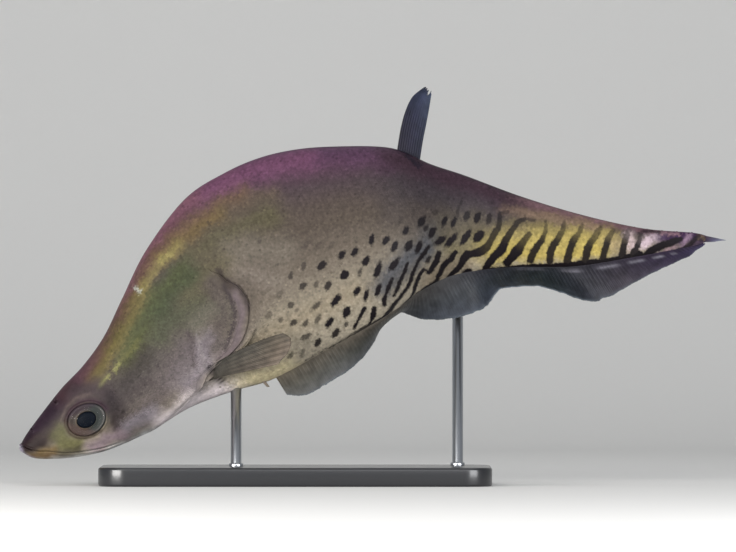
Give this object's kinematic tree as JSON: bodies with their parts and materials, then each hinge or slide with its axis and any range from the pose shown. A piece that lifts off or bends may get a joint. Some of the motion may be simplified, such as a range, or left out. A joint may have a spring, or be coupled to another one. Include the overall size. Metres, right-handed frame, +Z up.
{
  "type": "royal clown knifefish display model",
  "caption": "Humpbacked knifefish, head down, spots turning to slanted bars towards its pointed tail, with a long rippling fin below, on a plain stand with rods.",
  "frame": {"origin": "on the floor, below the middle of the part's length and width", "axes": "+Z up; the tail points along +X and the head along -X, so the fish's left flank faces -Y"},
  "size_m": [0.4512, 0.11, 0.2548],
  "materials": {
    "skin": "wet satin skin with fine scales",
    "gill_cover_skin": "wet satin skin",
    "jaw_skin": "wet satin skin",
    "fin_membrane": "thin ribbed membrane",
    "eye": "glossy",
    "stand_lacquer": "black satin lacquer",
    "stand_steel": "satin"
  },
  "bodies": {
    "root": {"head": "skin", "lower_jaw": "jaw_skin", "left_gill_cover": "gill_cover_skin", "right_gill_cover": "gill_cover_skin", "left_eye": "eye", "right_eye": "eye", "trunk": "skin", "tail": "skin", "left_pectoral_fin": "fin_membrane", "right_pectoral_fin": "fin_membrane", "left_pelvic_fin": "fin_membrane", "right_pelvic_fin": "fin_membrane", "dorsal_fin": "fin_membrane", "anal_fin_front": "fin_membrane", "anal_fin_middle": "fin_membrane", "anal_fin_rear": "fin_membrane", "caudal_fin": "fin_membrane", "stand_base": "stand_lacquer", "stand_rod_front": "stand_steel", "stand_rod_rear": "stand_steel"}
  },
  "joints": []
}
